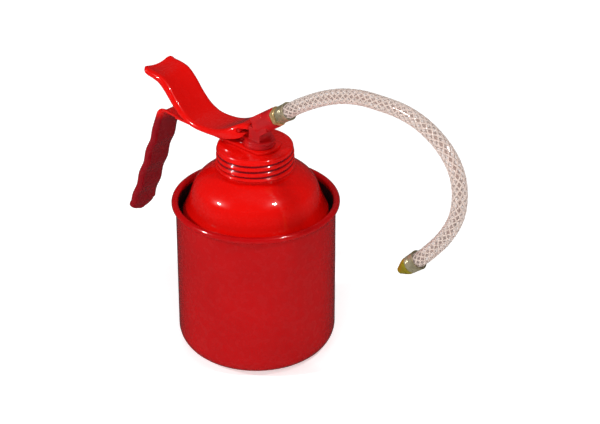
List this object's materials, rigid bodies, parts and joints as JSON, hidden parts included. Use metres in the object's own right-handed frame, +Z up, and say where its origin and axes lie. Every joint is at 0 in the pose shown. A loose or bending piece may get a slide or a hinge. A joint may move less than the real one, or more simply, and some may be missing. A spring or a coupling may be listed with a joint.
{
  "type": "hand-lever pump oiler",
  "caption": "Hand-lever oil can: round can with domed top, screw cap carrying a lever pump, strip handle with finger grip, and a braided flexible spout with a cone tip.",
  "frame": {"origin": "centre of the can's flat base, on the ground", "axes": "+Z up along the can's axis, +X towards the outlet and hose, -X towards the handle; the handle, lever and outlet lie in the plane Y = 0"},
  "size_m": [0.264, 0.1, 0.199],
  "materials": {
    "gloss_red": "gloss enamel",
    "cast_red": "painted die casting",
    "bright_steel": "zinc plated or ground",
    "brass": "turned",
    "passivated_brass": "dull olive plating",
    "black_rubber": "moulded nitrile",
    "clear_pvc": "clear, with a white braid inside"
  },
  "bodies": {
    "can": {"can_body": "gloss_red", "dome": "gloss_red", "neck_collar": "gloss_red"},
    "gasket": {"cap_gasket": "black_rubber"},
    "head": {"screw_cap": "gloss_red", "handle": "gloss_red", "pump_head": "cast_red", "head_washer": "bright_steel", "head_nut": "bright_steel", "gland_nut": "cast_red", "rod_seal": "black_rubber", "barrel": "brass", "return_spring": "bright_steel", "foot_valve": "brass", "ball_stop": "bright_steel", "suction_tube": "bright_steel", "strainer": "brass", "outlet_seat": "brass", "outlet_spring": "bright_steel", "lock_nut": "passivated_brass", "head_ferrule": "passivated_brass", "hose": "clear_pvc", "tip_ferrule": "passivated_brass", "nozzle_tip": "brass"},
    "piston": {"piston_rod": "bright_steel", "link_pin": "cast_red", "piston": "brass", "piston_cup": "black_rubber"},
    "thumb_lever": {"lever": "gloss_red"},
    "inlet_check": {"inlet_ball": "bright_steel"},
    "outlet_check": {"outlet_ball": "bright_steel"}
  },
  "joints": [
    {"name": "cap_lift", "type": "slide", "parent": "can", "child": "gasket", "axis": [0, 0, 1], "range_m": [0, 0.01081]},
    {"name": "cap_unscrew", "type": "hinge", "parent": "gasket", "child": "head", "pos_m": [0, 0, 0.13], "axis": [0, 0, 1], "range_deg": [0, 1080]},
    {"name": "lever_rock", "type": "hinge", "parent": "head", "child": "thumb_lever", "pos_m": [-0.036, 0, 0.135], "axis": [0, -1, 0], "range_deg": [0, 12], "stiffness_Nm_per_rad": 1.5, "springref_deg": -8.59},
    {"name": "piston_lift", "type": "slide", "parent": "head", "child": "piston", "axis": [0, 0, 1], "range_m": [0, 0.00668], "deforming": ["return_spring"]},
    {"name": "inlet_check_lift", "type": "slide", "parent": "head", "child": "inlet_check", "axis": [0, 0, 1], "range_m": [0, 0.001]},
    {"name": "outlet_check_lift", "type": "slide", "parent": "head", "child": "outlet_check", "axis": [0, 0, 1], "range_m": [0, 0.001], "stiffness_N_per_m": 60, "springref_m": -0.0005, "deforming": ["outlet_spring"]}
  ],
  "couplings": [
    {"joint": "cap_lift", "follows": "cap_unscrew", "m_per_rad": 0.00057296},
    {"joint": "lever_rock", "follows": "piston_lift", "rad_per_m": 31.348}
  ]
}
